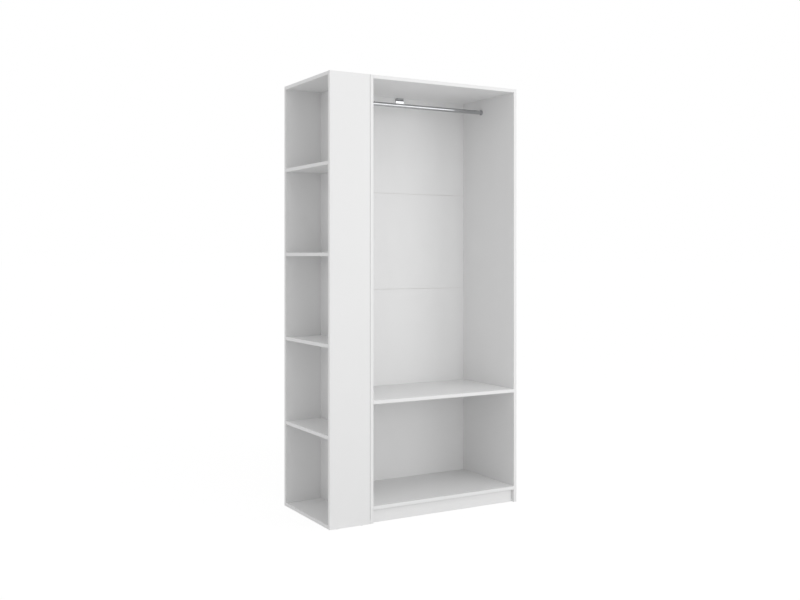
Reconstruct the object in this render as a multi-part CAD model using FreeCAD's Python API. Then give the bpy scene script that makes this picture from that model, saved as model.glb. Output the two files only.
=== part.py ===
import FreeCAD, Part
import os

# An open corner wardrobe made of melamine-faced boards, in millimetres.
# A wide hanging section stands on the right. A narrow shelf unit is bolted to its left side,
# closed at the front by a full-height panel, with its bays open to the left.
# X runs right along the front, Y runs back towards the wall and Z runs up.
# The origin is on the floor under the middle of the whole piece.

# Overall sizes and boards
OVERALL_HEIGHT = 2000.0
OVERALL_DEPTH = 500.0
WARDROBE_WIDTH = 800.0
SHELF_UNIT_WIDTH = 200.0
BOARD = 16.0
ARRIS_RADIUS = 0.8
SECTION_GAP = 1.0

# Hanging section
PLINTH_HEIGHT = 60.0
PLINTH_SETBACK = 16.0
LOWER_SPACE_HEIGHT = 454.0
SHELF_COUNT = 4

# Back sheets, held in grooves ahead of the wall
BACK_NICHE = 50.0
BACK_SHEET = 3.0
BACK_SEAM_GAP = 1.0
UPPER_BACK_LEAVES = 3
GROOVE_DEPTH = 7.0
GROOVE_CLEARANCE = 0.2
STRIP_HEIGHT = 24.0
STRIP_THICKNESS = 1.5
STRIP_WEB_DEPTH = 1.2
STRIP_END_GAP = 0.5

# Hanging rod and its end sockets
ROD_RADIUS = 10.0
ROD_WALL = 1.2
ROD_DROP = 64.0
ROD_SETBACK = 280.0
ROD_RUNNING_CLEARANCE = 0.05
ROD_END_GAP = 0.3
SOCKET_RADIUS = 13.0
SOCKET_LENGTH = 7.0
SOCKET_FLOOR = 2.5
SOCKET_BEVEL = 1.5
SOCKET_SCREW_RADIUS = 2.0
SOCKET_SCREW_HEAD_RADIUS = 3.8
SOCKET_SCREW_HEAD_HEIGHT = 1.8
SOCKET_SCREW_LENGTH = 14.0

# Corner brace between the top board and the back
BRACE_COVER_GAP = 2.1
BRACE_COVER_WALL = 0.8
BRACE_NECK_HEIGHT = 7.0
BRACE_NECK_ROOM = 0.9
BRACE_FOLD_HEIGHT = 1.5
BRACE_HEAD_ROOM = 0.9
BRACE_SIDE_ROOM = 1.2
BRACE_TOE_ROOM = 3.2
BRACE_ANGLE_WIDTH = 42.0
BRACE_ANGLE_BACK_LEG = 36.0
BRACE_ANGLE_TOP_LEG = 11.0
BRACE_ANGLE_THICKNESS = 1.5
BRACE_SCREW_SPACING = 24.0
BRACE_SCREW_RADIUS = 1.7
BRACE_SCREW_LENGTH = 13.0
BRACE_HEAD_RADIUS = 3.2
BRACE_HEAD_HEIGHT = 1.4
BRACE_NUT_RADIUS = 3.8
BRACE_NUT_THICKNESS = 2.4
BRACE_NUT_SIDES = 6

# Confirmat screws and their cover caps
CONFIRMAT_LENGTH = 50.0
CONFIRMAT_HEAD_RADIUS = 5.0
CONFIRMAT_HEAD_HEIGHT = 3.0
CONFIRMAT_SHANK_RADIUS = 3.3
CONFIRMAT_SINK = 1.0
SCREW_INSET = 50.0

# Wooden dowels of the shelf unit
DOWEL_RADIUS = 4.0
DOWEL_LENGTH = 30.0
DOWEL_SIDE_DEPTH = 11.0

# Cam locks that draw the front panel of the shelf unit onto its inner back
CAM_RADIUS = 7.4
CAM_DEPTH = 12.5
CAM_INSET = 24.0
CAM_BOLT_RADIUS = 2.5
CAM_BOLT_HEAD_RADIUS = 3.4
CAM_BOLT_HEAD_HEIGHT = 3.0
CAM_BOLT_THREAD_RADIUS = 2.9
CAM_BOLT_THREAD_LENGTH = 11.0

# Connector bolts that join the two sections
CONNECTOR_HEAD_RADIUS = 7.0
CONNECTOR_HEAD_HEIGHT = 1.8
CONNECTOR_SLEEVE_RADIUS = 3.9
CONNECTOR_BOLT_RADIUS = 2.9
CONNECTOR_END_GAP = 4.0
CONNECTOR_FRONT_INSET = 100.0
CONNECTOR_REAR_INSET = 300.0
CONNECTOR_BAYS = (0, -1)

# Screws that hold the back sheets to the shelf and the bottom
BACK_SCREW_COUNT = 4
BACK_SCREW_RADIUS = 1.7
BACK_SCREW_LENGTH = 18.0
BACK_SCREW_HEAD_RADIUS = 5.0
BACK_SCREW_HEAD_HEIGHT = 1.6

# Nail-on floor glides
GLIDE_HEIGHT = 2.0
GLIDE_RADIUS = 7.0
GLIDE_BEVEL = 0.8
GLIDE_NAIL_RADIUS = 1.0
GLIDE_NAIL_LENGTH = 12.0
GLIDE_INSET = 40.0

# Sides drawn on each small fastener and its bore, few because they repeat
FASTENER_SIDES = 8

# Room left between a fastener and its bore, and how far a cut runs past a face
FIT_CLEARANCE = 0.1
OVERRUN = 1.0
SAME_PLACE = 0.001
FULL_TURN = 360.0
HALF_SHARE = 0.5

# Directions
RIGHT = FreeCAD.Vector(1, 0, 0)
LEFT = FreeCAD.Vector(-1, 0, 0)
BACKWARD = FreeCAD.Vector(0, 1, 0)
FORWARD = FreeCAD.Vector(0, -1, 0)
UP = FreeCAD.Vector(0, 0, 1)

# Faces of the whole piece
left_face = -(SHELF_UNIT_WIDTH + WARDROBE_WIDTH) * HALF_SHARE
seam_face = left_face + SHELF_UNIT_WIDTH
right_face = seam_face + WARDROBE_WIDTH
front_face = -OVERALL_DEPTH * HALF_SHARE
rear_face = OVERALL_DEPTH * HALF_SHARE

# Inner faces of the hanging section, and the levels of its boards
inner_left = seam_face + BOARD
inner_right = right_face - BOARD
inner_middle = (inner_left + inner_right) * HALF_SHARE
upright_span = (GLIDE_HEIGHT, OVERALL_HEIGHT)
plinth_span = (GLIDE_HEIGHT, GLIDE_HEIGHT + PLINTH_HEIGHT)
bottom_span = (plinth_span[1], plinth_span[1] + BOARD)
shelf_span = (bottom_span[1] + LOWER_SPACE_HEIGHT, bottom_span[1] + LOWER_SPACE_HEIGHT + BOARD)
top_span = (OVERALL_HEIGHT - BOARD, OVERALL_HEIGHT)
back_span = (rear_face - BACK_NICHE - BACK_SHEET, rear_face - BACK_NICHE)
front_plinth_span = (front_face + PLINTH_SETBACK, front_face + PLINTH_SETBACK + BOARD)
rear_plinth_span = (back_span[0] - BOARD, back_span[0])

# Inner faces of the shelf unit, and the levels of its boards
unit_inner = seam_face - BOARD
unit_front = front_face + BOARD
unit_rear = rear_face - BOARD
shelf_pitch = OVERALL_HEIGHT / (SHELF_COUNT + 1)
unit_board_spans = [(GLIDE_HEIGHT, GLIDE_HEIGHT + BOARD)]
for number in range(1, SHELF_COUNT + 1):
    middle = number * shelf_pitch
    unit_board_spans.append((middle - BOARD * HALF_SHARE, middle + BOARD * HALF_SHARE))
unit_board_spans.append(top_span)
bay_middles = [(number + HALF_SHARE) * shelf_pitch for number in range(SHELF_COUNT + 1)]


def mid(span):
    """Return the middle of a pair of limits."""
    return (span[0] + span[1]) * HALF_SHARE


def block(x_span, y_span, z_span):
    """Return a square board between three pairs of limits."""
    low, high = (FreeCAD.Vector(*corner) for corner in zip(x_span, y_span, z_span))
    size = high - low
    return Part.makeBox(size.x, size.y, size.z, low)


def eased(solid, axis, place):
    """Round the long arrises of the banded edge that lies at one place along an axis."""
    banded = []
    for edge in solid.Edges:
        on_edge = all(abs(vertex.Point.dot(axis) - place) < SAME_PLACE for vertex in edge.Vertexes)
        if on_edge and edge.Length > BOARD + SAME_PLACE:
            banded.append(edge)
    return solid.makeFillet(ARRIS_RADIUS, banded)


def turned(profile, start, direction):
    """Return a solid turned from pairs of a radius and a distance along its axis."""
    points = [FreeCAD.Vector(radius, 0, distance) for radius, distance in profile]
    outline = Part.makePolygon(points + points[:1])
    solid = Part.Face(outline).revolve(FreeCAD.Vector(0, 0, 0), UP, FULL_TURN)
    solid.Placement = FreeCAD.Placement(start, FreeCAD.Rotation(UP, direction))
    return solid


def faceted(profile, start, direction, sides=FASTENER_SIDES):
    """Return a few-sided solid through pairs of a radius and a distance along its axis."""
    turn = FreeCAD.Rotation(UP, FULL_TURN / sides)
    rings = []
    for radius, distance in profile:
        rings.append([FreeCAD.Vector(radius, 0, distance)])
        for _ in range(sides):
            rings[-1].append(turn.multVec(rings[-1][-1]))
    outlines = [rings[0][::-1], rings[-1]]
    for near, far in zip(rings, rings[1:]):
        for index in range(sides):
            outlines.append(near[index : index + 2] + far[index : index + 2][::-1] + near[index : index + 1])
    solid = Part.Solid(Part.Shell([Part.Face(Part.makePolygon(outline)) for outline in outlines]))
    solid.Placement = FreeCAD.Placement(start, FreeCAD.Rotation(UP, direction))
    return solid


def prism(outline, x_span):
    """Return a solid with an outline of depth and height pairs, drawn out across the width."""
    points = [FreeCAD.Vector(x_span[0], depth, height) for depth, height in outline]
    return Part.Face(Part.makePolygon(points + points[:1])).extrude(RIGHT * (x_span[1] - x_span[0]))


def drilled(solid, cutters):
    """Return a solid with bores and grooves cut out of it."""
    return solid.cut(cutters).removeSplitter().Solids[0]


class Fastening:
    """A set of like fasteners, and the bores that they need in the boards."""

    def __init__(self, profile, bore_profile):
        self.profile = profile
        self.bore_profile = bore_profile
        self.solids = []
        self.bores = []

    def add(self, start, direction):
        """Put one fastener at a start point, along a direction."""
        self.solids.append(faceted(self.profile, start, direction))
        self.bores.append(faceted(self.bore_profile, start, direction))


def headed(head_radius, head_height, shank_radius, length, clearance=0.0):
    """Return the profile of a pan-head screw whose head stands on the start point."""
    return [
        (head_radius + clearance, -head_height - clearance),
        (head_radius + clearance, 0),
        (shank_radius + clearance, 0),
        (shank_radius + clearance, length + clearance),
    ]


def confirmat_set():
    """Return an empty set of confirmat screws, sunk below the face that they enter."""
    neck = CONFIRMAT_SINK + CONFIRMAT_HEAD_HEIGHT
    screw = [
        (CONFIRMAT_HEAD_RADIUS, CONFIRMAT_SINK),
        (CONFIRMAT_SHANK_RADIUS, neck),
        (CONFIRMAT_SHANK_RADIUS, CONFIRMAT_LENGTH),
    ]
    bore = [
        (CONFIRMAT_HEAD_RADIUS + FIT_CLEARANCE, -OVERRUN),
        (CONFIRMAT_HEAD_RADIUS + FIT_CLEARANCE, CONFIRMAT_SINK),
        (CONFIRMAT_SHANK_RADIUS + FIT_CLEARANCE, neck),
        (CONFIRMAT_SHANK_RADIUS + FIT_CLEARANCE, CONFIRMAT_LENGTH + FIT_CLEARANCE),
    ]
    return Fastening(screw, bore)


def dowel_set():
    """Return an empty set of dowels, each sunk into the board that it starts from."""
    start = -DOWEL_SIDE_DEPTH
    end = start + DOWEL_LENGTH
    dowel = [(DOWEL_RADIUS, start), (DOWEL_RADIUS, end)]
    bore_radius = DOWEL_RADIUS + FIT_CLEARANCE
    bore = [(bore_radius, start - FIT_CLEARANCE), (bore_radius, end + FIT_CLEARANCE)]
    return Fastening(dowel, bore)


def cam_bolt_set():
    """Return an empty set of cam bolts, which screw in behind the face that they start from."""
    stem_end = CAM_INSET - CAM_BOLT_HEAD_HEIGHT * HALF_SHARE
    head_end = stem_end + CAM_BOLT_HEAD_HEIGHT

    def profile(clearance):
        return [
            (CAM_BOLT_THREAD_RADIUS + clearance, -CAM_BOLT_THREAD_LENGTH - clearance),
            (CAM_BOLT_THREAD_RADIUS + clearance, 0),
            (CAM_BOLT_RADIUS + clearance, 0),
            (CAM_BOLT_RADIUS + clearance, stem_end - clearance),
            (CAM_BOLT_HEAD_RADIUS + clearance, stem_end - clearance),
            (CAM_BOLT_HEAD_RADIUS + clearance, head_end + clearance),
        ]

    return Fastening(profile(0), profile(FIT_CLEARANCE))


def back_screw_set():
    """Return an empty set of washer-head screws for the back sheets."""
    sizes = (BACK_SCREW_HEAD_RADIUS, BACK_SCREW_HEAD_HEIGHT, BACK_SCREW_RADIUS, BACK_SCREW_LENGTH)
    return Fastening(headed(*sizes), headed(*sizes, clearance=FIT_CLEARANCE))


def glide_set():
    """Return an empty set of floor glides, each with its nail."""
    nail_end = GLIDE_HEIGHT + GLIDE_NAIL_LENGTH
    glide = [
        (GLIDE_RADIUS - GLIDE_BEVEL, 0),
        (GLIDE_RADIUS, GLIDE_BEVEL),
        (GLIDE_RADIUS, GLIDE_HEIGHT),
        (GLIDE_NAIL_RADIUS, GLIDE_HEIGHT),
        (GLIDE_NAIL_RADIUS, nail_end),
    ]
    bore_radius = GLIDE_NAIL_RADIUS + FIT_CLEARANCE
    bore = [(bore_radius, GLIDE_HEIGHT - OVERRUN), (bore_radius, nail_end + FIT_CLEARANCE)]
    return Fastening(glide, bore)


def socket_screw_set():
    """Return an empty set of countersunk screws, whose heads lie level with the socket floors."""
    neck = SOCKET_SCREW_HEAD_HEIGHT - SOCKET_FLOOR
    end = SOCKET_SCREW_LENGTH - SOCKET_FLOOR
    screw = [
        (SOCKET_SCREW_HEAD_RADIUS, -SOCKET_FLOOR),
        (SOCKET_SCREW_RADIUS, neck),
        (SOCKET_SCREW_RADIUS, end),
    ]
    bore = [
        (SOCKET_SCREW_HEAD_RADIUS + FIT_CLEARANCE, -SOCKET_FLOOR - OVERRUN),
        (SOCKET_SCREW_HEAD_RADIUS + FIT_CLEARANCE, -SOCKET_FLOOR),
        (SOCKET_SCREW_RADIUS + FIT_CLEARANCE, neck),
        (SOCKET_SCREW_RADIUS + FIT_CLEARANCE, end + FIT_CLEARANCE),
    ]
    return Fastening(screw, bore)


def fasten_wardrobe(confirmats):
    """Screw the boards of the hanging section between its sides."""
    screw_rows = (front_face + SCREW_INSET, back_span[0] - SCREW_INSET)
    for outer, direction in ((seam_face, RIGHT), (right_face, LEFT)):
        for span in (top_span, shelf_span, bottom_span):
            for row in screw_rows:
                confirmats.add(FreeCAD.Vector(outer, row, mid(span)), direction)
        for plinth in (front_plinth_span, rear_plinth_span):
            confirmats.add(FreeCAD.Vector(outer, mid(plinth), mid(plinth_span)), direction)


def fasten_shelf_unit(confirmats, dowels):
    """Screw the boards of the shelf unit through its inner back and dowel their ends."""
    board_middle = (left_face + unit_inner) * HALF_SHARE
    for span in unit_board_spans:
        for row in (unit_front + SCREW_INSET, unit_rear - SCREW_INSET):
            confirmats.add(FreeCAD.Vector(seam_face, row, mid(span)), LEFT)
        dowels.add(FreeCAD.Vector(board_middle, unit_front, mid(span)), BACKWARD)
        dowels.add(FreeCAD.Vector(board_middle, unit_rear, mid(span)), FORWARD)
    for height in bay_middles:
        confirmats.add(FreeCAD.Vector(mid((unit_inner, seam_face)), rear_face, height), FORWARD)


def fasten_front_panel(cam_bolts):
    """Set the cam bolts in the front panel and return the cams and their bores."""
    cams = []
    cam_bores = []
    for height in bay_middles:
        cam_bolts.add(FreeCAD.Vector(mid((unit_inner, seam_face)), unit_front, height), BACKWARD)
        place = FreeCAD.Vector(seam_face, unit_front + CAM_INSET, height)
        cam = faceted([(CAM_RADIUS, 0), (CAM_RADIUS, CAM_DEPTH)], place, LEFT)
        cams.append(drilled(cam, cam_bolts.bores[-1:]))
        bore_radius = CAM_RADIUS + FIT_CLEARANCE
        bore = [(bore_radius, -OVERRUN), (bore_radius, CAM_DEPTH + FIT_CLEARANCE)]
        cam_bores.append(faceted(bore, place, LEFT))
    return cams, cam_bores


def connect_sections():
    """Return the sleeves, the bolts and the bores that join the two sections."""
    length = inner_left - unit_inner
    reach = length - CONNECTOR_END_GAP
    sleeve = headed(CONNECTOR_HEAD_RADIUS, CONNECTOR_HEAD_HEIGHT, CONNECTOR_SLEEVE_RADIUS, reach)
    bolt = headed(CONNECTOR_HEAD_RADIUS, CONNECTOR_HEAD_HEIGHT, CONNECTOR_BOLT_RADIUS, reach)
    way_radius = CONNECTOR_BOLT_RADIUS + FIT_CLEARANCE
    way = [(way_radius, -CONNECTOR_HEAD_HEIGHT - OVERRUN), (way_radius, length)]
    bore_radius = CONNECTOR_SLEEVE_RADIUS + FIT_CLEARANCE
    bore = [(bore_radius, -OVERRUN), (bore_radius, length + OVERRUN)]
    sleeves = []
    bolts = []
    bores = []
    for bay in CONNECTOR_BAYS:
        for inset in (CONNECTOR_FRONT_INSET, CONNECTOR_REAR_INSET):
            start = FreeCAD.Vector(unit_inner, front_face + inset, bay_middles[bay])
            sleeves.append(drilled(faceted(sleeve, start, RIGHT), [faceted(way, start, RIGHT)]))
            bolts.append(faceted(bolt, start + RIGHT * length, LEFT))
            bores.append(faceted(bore, start, RIGHT))
    return sleeves, bolts, bores


def place_glides(glides):
    """Nail two glides under each upright that carries weight."""
    for side in (mid((seam_face, inner_left)), mid((inner_right, right_face))):
        for row in (front_face + GLIDE_INSET, rear_face - GLIDE_INSET):
            glides.add(FreeCAD.Vector(side, row, 0), UP)
    for panel in (mid((front_face, unit_front)), mid((unit_rear, rear_face))):
        for column in (left_face + GLIDE_INSET, seam_face - GLIDE_INSET):
            glides.add(FreeCAD.Vector(column, panel, 0), UP)


def place_back_screws(screws):
    """Screw the back sheets to the rear edges of the bottom and the shelf."""
    step = (inner_right - inner_left) / BACK_SCREW_COUNT
    for number in range(BACK_SCREW_COUNT):
        column = inner_left + (number + HALF_SHARE) * step
        for span in (bottom_span, shelf_span):
            screws.add(FreeCAD.Vector(column, back_span[1], mid(span)), FORWARD)


def back_seams():
    """Return the heights of the seams: one behind the shelf, the rest in equal parts above it."""
    part = (top_span[0] - shelf_span[1]) / UPPER_BACK_LEAVES
    return [mid(shelf_span)] + [shelf_span[1] + number * part for number in range(1, UPPER_BACK_LEAVES)]


def back_leaves(cutters):
    """Return the thin sheets of the back, from the bottom up."""
    reach = GROOVE_DEPTH - GROOVE_CLEARANCE
    half_gap = BACK_SEAM_GAP * HALF_SHARE
    seams = back_seams()
    lows = [bottom_span[0]] + [seam + half_gap for seam in seams]
    highs = [seam - half_gap for seam in seams] + [top_span[0] + reach]
    width = (inner_left - reach, inner_right + reach)
    return [drilled(block(width, back_span, limits), cutters) for limits in zip(lows, highs)]


def seam_strips():
    """Return the strips behind the open seams, each with a web that parts the two sheets."""
    width = (inner_left + STRIP_END_GAP, inner_right - STRIP_END_GAP)
    half_web = BACK_SEAM_GAP * HALF_SHARE - FIT_CLEARANCE
    half_height = STRIP_HEIGHT * HALF_SHARE
    strips = []
    for seam in back_seams()[1:]:
        outline = [
            (back_span[1] + STRIP_THICKNESS, seam - half_height),
            (back_span[1] + STRIP_THICKNESS, seam + half_height),
            (back_span[1], seam + half_height),
            (back_span[1], seam + half_web),
            (back_span[1] - STRIP_WEB_DEPTH, seam + half_web),
            (back_span[1] - STRIP_WEB_DEPTH, seam - half_web),
            (back_span[1], seam - half_web),
            (back_span[1], seam - half_height),
        ]
        strips.append(prism(outline, width))
    return strips


def side_groove(inner, direction):
    """Return the cutter for the groove that holds the back in one side."""
    depth_span = (back_span[0] - GROOVE_CLEARANCE, back_span[1] + GROOVE_CLEARANCE)
    floor = inner - direction.x * GROOVE_DEPTH
    mouth = inner + direction.x * OVERRUN
    height_span = (upright_span[0] - OVERRUN, upright_span[1] + OVERRUN)
    return block(sorted((floor, mouth)), depth_span, height_span)


def top_groove():
    """Return the cutter for the groove that holds the back in the top board."""
    depth_span = (back_span[0] - GROOVE_CLEARANCE, back_span[1] + GROOVE_CLEARANCE)
    width_span = (inner_left - OVERRUN, inner_right + OVERRUN)
    return block(width_span, depth_span, (top_span[0] - OVERRUN, top_span[0] + GROOVE_DEPTH))


def wardrobe_boards(cutters):
    """Return the named boards of the hanging section."""
    depth = (front_face, rear_face)
    shallow = (front_face, back_span[0])
    width = (inner_left, inner_right)
    left_side = eased(block((seam_face, inner_left), depth, upright_span), BACKWARD, front_face)
    right_side = eased(block((inner_right, right_face), depth, upright_span), BACKWARD, front_face)
    top = eased(block(width, depth, top_span), BACKWARD, front_face)
    shelf = eased(block(width, shallow, shelf_span), BACKWARD, front_face)
    bottom = eased(block(width, shallow, bottom_span), BACKWARD, front_face)
    return {
        "wardrobe_left_side": drilled(left_side, cutters + [side_groove(inner_left, RIGHT)]),
        "wardrobe_right_side": drilled(right_side, cutters + [side_groove(inner_right, LEFT)]),
        "wardrobe_top": drilled(top, cutters + [top_groove()]),
        "wardrobe_shelf": drilled(shelf, cutters),
        "wardrobe_bottom": drilled(bottom, cutters),
        "wardrobe_plinth": drilled(block(width, front_plinth_span, plinth_span), cutters),
        "wardrobe_rear_plinth": drilled(block(width, rear_plinth_span, plinth_span), cutters),
    }


def shelf_unit_boards(cutters):
    """Return the named boards of the shelf unit."""
    width = (left_face, seam_face)
    show_width = (left_face, seam_face - SECTION_GAP)
    front_panel = eased(block(show_width, (front_face, unit_front), upright_span), RIGHT, left_face)
    front_panel = eased(front_panel, RIGHT, show_width[1])
    rear_panel = eased(block(width, (unit_rear, rear_face), upright_span), RIGHT, left_face)
    inner_back = block((unit_inner, seam_face), (unit_front, unit_rear), upright_span)
    boards = {
        "shelf_unit_front_panel": drilled(front_panel, cutters),
        "shelf_unit_rear_panel": drilled(rear_panel, cutters),
        "shelf_unit_inner_back": drilled(inner_back, cutters),
    }
    names = ["bottom"] + [f"shelf_{number}" for number in range(1, SHELF_COUNT + 1)] + ["top"]
    for name, span in zip(names, unit_board_spans):
        board = eased(block((left_face, unit_inner), (unit_front, unit_rear), span), RIGHT, left_face)
        boards["shelf_unit_" + name] = drilled(board, cutters)
    return boards


def hanging_rod():
    """Return the tube that runs from one socket to the other."""
    end = SOCKET_FLOOR + ROD_END_GAP
    start = FreeCAD.Vector(inner_left + end, front_face + ROD_SETBACK, top_span[0] - ROD_DROP)
    length = inner_right - inner_left - end - end
    bore_start = start + LEFT * OVERRUN
    bore = Part.makeCylinder(ROD_RADIUS - ROD_WALL, length + OVERRUN + OVERRUN, bore_start, RIGHT)
    return drilled(Part.makeCylinder(ROD_RADIUS, length, start, RIGHT), [bore])


def rod_socket(inner, direction, screws):
    """Return one end socket, and add the screw that holds it to the side."""
    place = FreeCAD.Vector(inner, front_face + ROD_SETBACK, top_span[0] - ROD_DROP)
    bore_radius = ROD_RADIUS + ROD_RUNNING_CLEARANCE
    cup = [
        (0, 0),
        (SOCKET_RADIUS, 0),
        (SOCKET_RADIUS, SOCKET_LENGTH - SOCKET_BEVEL),
        (SOCKET_RADIUS - SOCKET_BEVEL, SOCKET_LENGTH),
        (bore_radius, SOCKET_LENGTH),
        (bore_radius, SOCKET_FLOOR),
        (0, SOCKET_FLOOR),
    ]
    screws.add(place, -direction)
    return drilled(turned(cup, place, direction), screws.bores[-1:])


def brace_places():
    """Return the places across the width of the brace's two pairs of screws."""
    half_spacing = BRACE_SCREW_SPACING * HALF_SHARE
    return (inner_middle - half_spacing, inner_middle + half_spacing)


def brace_screw_set():
    """Return the screws that hold the brace's angle to the top board."""
    sizes = (BRACE_HEAD_RADIUS, BRACE_HEAD_HEIGHT, BRACE_SCREW_RADIUS, BRACE_SCREW_LENGTH)
    screws = Fastening(headed(*sizes), headed(*sizes, clearance=FIT_CLEARANCE))
    row = back_span[0] - (BRACE_ANGLE_TOP_LEG + BRACE_ANGLE_THICKNESS) * HALF_SHARE
    for column in brace_places():
        screws.add(FreeCAD.Vector(column, row, top_span[0] - BRACE_ANGLE_THICKNESS), UP)
    return screws


def brace_bolt_set():
    """Return the bolts that hold the brace's angle to the top sheet of the back."""
    length = BRACE_ANGLE_THICKNESS + BACK_SHEET + BRACE_NUT_THICKNESS
    sizes = (BRACE_HEAD_RADIUS, BRACE_HEAD_HEIGHT, BRACE_SCREW_RADIUS, length)
    bolts = Fastening(headed(*sizes), headed(*sizes, clearance=FIT_CLEARANCE))
    height = top_span[0] - (BRACE_ANGLE_BACK_LEG + BRACE_ANGLE_THICKNESS) * HALF_SHARE
    for column in brace_places():
        bolts.add(FreeCAD.Vector(column, back_span[0] - BRACE_ANGLE_THICKNESS, height), BACKWARD)
    return bolts


def brace_nuts(bolts):
    """Return the hexagon nuts behind the back sheet."""
    nuts = []
    for solid, bore in zip(bolts.solids, bolts.bores):
        centre = solid.BoundBox.Center
        start = FreeCAD.Vector(centre.x, back_span[1], centre.z)
        profile = [(BRACE_NUT_RADIUS, 0), (BRACE_NUT_RADIUS, BRACE_NUT_THICKNESS)]
        nuts.append(drilled(faceted(profile, start, BACKWARD, BRACE_NUT_SIDES), [bore]))
    return nuts


def brace_angle(cutters):
    """Return the bent steel angle inside the corner brace."""
    width = BRACE_ANGLE_WIDTH * HALF_SHARE
    back = back_span[0]
    top = top_span[0]
    outline = [
        (back, top),
        (back - BRACE_ANGLE_TOP_LEG, top),
        (back - BRACE_ANGLE_TOP_LEG, top - BRACE_ANGLE_THICKNESS),
        (back - BRACE_ANGLE_THICKNESS, top - BRACE_ANGLE_THICKNESS),
        (back - BRACE_ANGLE_THICKNESS, top - BRACE_ANGLE_BACK_LEG),
        (back, top - BRACE_ANGLE_BACK_LEG),
    ]
    return drilled(prism(outline, (inner_middle - width, inner_middle + width)), cutters)


def brace_cover():
    """Return the hollow cover that drops over the angle's back leg, with a neck above its sloping plate."""
    wall = BRACE_COVER_WALL
    head = BRACE_ANGLE_THICKNESS + BRACE_HEAD_HEIGHT + BRACE_COVER_GAP
    neck_foot = head + BRACE_NECK_HEIGHT
    plate_head = neck_foot + BRACE_FOLD_HEIGHT
    foot = BRACE_ANGLE_BACK_LEG + BRACE_TOE_ROOM
    neck = BRACE_ANGLE_THICKNESS + BRACE_NECK_ROOM
    plate = BRACE_ANGLE_THICKNESS + BRACE_HEAD_HEIGHT + BRACE_HEAD_ROOM
    toe = BRACE_ANGLE_THICKNESS
    half_width = BRACE_ANGLE_WIDTH * HALF_SHARE + BRACE_SIDE_ROOM
    hollow = [
        (-OVERRUN, head - OVERRUN),
        (neck, head - OVERRUN),
        (neck, neck_foot),
        (plate, plate_head),
        (toe, foot),
        (-OVERRUN, foot),
    ]
    outline = [
        (0, head),
        (neck + wall, head),
        (neck + wall, neck_foot),
        (plate + wall, plate_head),
        (toe + wall, foot + wall),
        (0, foot + wall),
    ]
    solids = []
    for profile, half in ((outline, half_width + wall), (hollow, half_width)):
        points = [(back_span[0] - depth, top_span[0] - drop) for depth, drop in profile]
        solids.append(prism(points, (inner_middle - half, inner_middle + half)))
    return drilled(solids[0], solids[1:])


def cover_caps(confirmats):
    """Return the caps over the screws that enter the open face of the right side."""
    disc = [(CONFIRMAT_HEAD_RADIUS, 0), (CONFIRMAT_HEAD_RADIUS, CONFIRMAT_SINK)]
    caps = []
    for solid in confirmats.solids:
        bounds = solid.BoundBox
        if bounds.XMax > inner_right:
            caps.append(faceted(disc, FreeCAD.Vector(right_face, bounds.Center.y, bounds.Center.z), LEFT))
    return caps


def all_pieces():
    """Return every piece of the wardrobe by its name."""
    wardrobe_confirmats = confirmat_set()
    fasten_wardrobe(wardrobe_confirmats)
    unit_confirmats = confirmat_set()
    unit_dowels = dowel_set()
    fasten_shelf_unit(unit_confirmats, unit_dowels)
    cam_bolts = cam_bolt_set()
    cams, cam_bores = fasten_front_panel(cam_bolts)
    sleeves, connector_bolts, connector_bores = connect_sections()
    glides = glide_set()
    place_glides(glides)
    back_screws = back_screw_set()
    place_back_screws(back_screws)
    socket_screws = socket_screw_set()
    left_socket = rod_socket(inner_left, RIGHT, socket_screws)
    right_socket = rod_socket(inner_right, LEFT, socket_screws)
    brace_screws = brace_screw_set()
    brace_bolts = brace_bolt_set()

    carcass_bores = wardrobe_confirmats.bores + connector_bores + glides.bores
    carcass_bores += back_screws.bores + socket_screws.bores + brace_screws.bores
    unit_bores = unit_confirmats.bores + unit_dowels.bores + cam_bolts.bores + cam_bores
    unit_bores += connector_bores + glides.bores

    pieces = wardrobe_boards(carcass_bores)
    pieces.update(shelf_unit_boards(unit_bores))
    for number, leaf in enumerate(back_leaves(back_screws.bores + brace_bolts.bores), start=1):
        pieces[f"back_leaf_{number}"] = leaf
    for number, strip in enumerate(seam_strips(), start=1):
        pieces[f"back_seam_strip_{number}"] = strip
    pieces["hanging_rod"] = hanging_rod()
    pieces["rod_socket_left"] = left_socket
    pieces["rod_socket_right"] = right_socket
    pieces["corner_brace_angle"] = brace_angle(brace_screws.bores + brace_bolts.bores)
    pieces["corner_brace_cover"] = brace_cover()

    groups = {
        "wardrobe_confirmat_screws": wardrobe_confirmats.solids,
        "screw_cover_caps": cover_caps(wardrobe_confirmats),
        "shelf_unit_confirmat_screws": unit_confirmats.solids,
        "shelf_unit_dowels": unit_dowels.solids,
        "cam_locks": cams,
        "cam_bolts": cam_bolts.solids,
        "section_connector_sleeves": sleeves,
        "section_connector_bolts": connector_bolts,
        "back_screws": back_screws.solids,
        "rod_socket_screws": socket_screws.solids,
        "corner_brace_screws": brace_screws.solids,
        "corner_brace_bolts": brace_bolts.solids,
        "corner_brace_nuts": brace_nuts(brace_bolts),
        "floor_glides": glides.solids,
    }
    for name, solids in groups.items():
        pieces[name] = Part.makeCompound(solids)
    return pieces


os.makedirs("parts", exist_ok=True)
for node, shape in all_pieces().items():
    shape.exportStep(f"parts/{node}.step")
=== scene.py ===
import logging
import math
from collections.abc import Callable, Iterable
from dataclasses import dataclass, replace
from enum import Enum

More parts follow.
